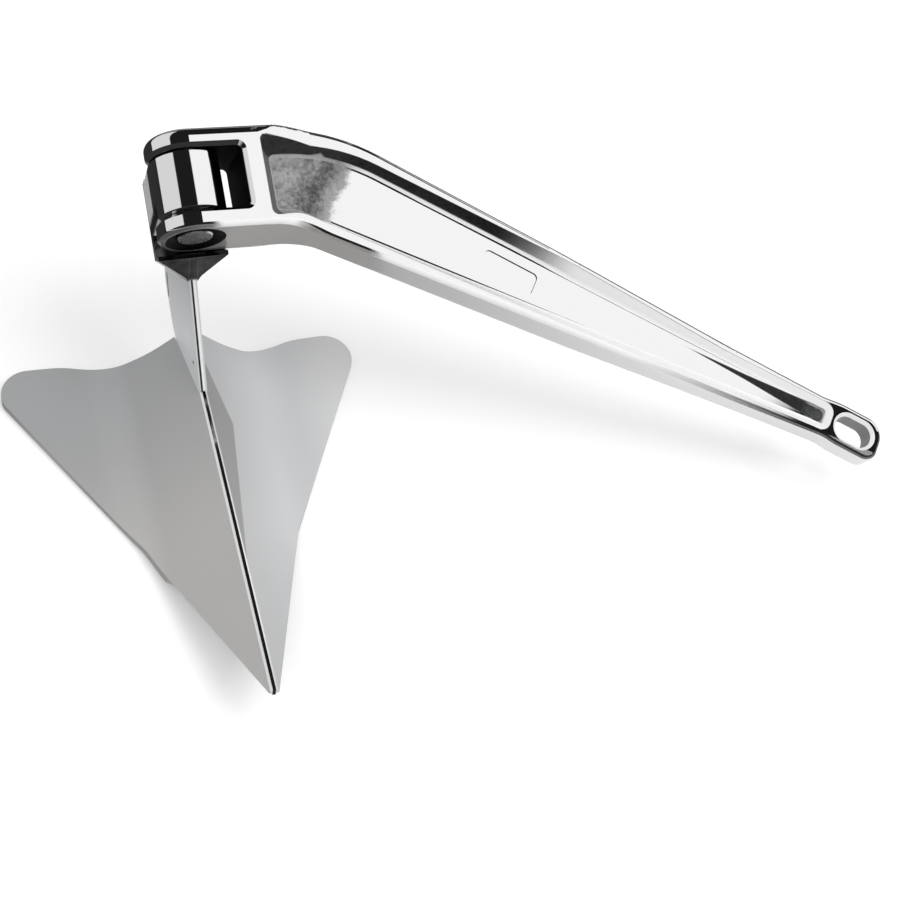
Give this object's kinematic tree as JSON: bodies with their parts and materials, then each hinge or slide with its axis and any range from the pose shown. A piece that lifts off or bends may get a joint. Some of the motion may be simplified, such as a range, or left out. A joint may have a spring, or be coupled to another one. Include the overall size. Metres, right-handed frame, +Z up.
{
  "type": "hinged plough anchor",
  "caption": "Plough anchor with an I-section shank, a shackle eye and a bent-blade plough hinged in the shank's fork.",
  "frame": {"origin": "middle of the footprint on the floor, as the anchor lies at rest", "axes": "+X from the fork towards the shackle eye, along the longest extent; +Z up; the plough lies with its ridge up"},
  "size_m": [0.5216, 0.2956, 0.1956],
  "materials": {
    "polished_steel": "mirror polished stainless steel",
    "satin_steel": "satin stainless steel",
    "cast_ballast": "rough casting"
  },
  "bodies": {
    "shank": {"shank": "polished_steel", "hinge_pin": "polished_steel"},
    "plough": {"plough_head": "satin_steel", "ridge_bar": "polished_steel", "port_blade": "satin_steel", "starboard_blade": "satin_steel", "nose_ballast": "cast_ballast"}
  },
  "joints": [
    {"name": "plough_hinge", "type": "hinge", "parent": "shank", "child": "plough", "pos_m": [-0.15397, 0.0854, 0.16559], "axis": [-0.312, 0.8181, 0.4832], "range_deg": [0, 193.2]}
  ]
}
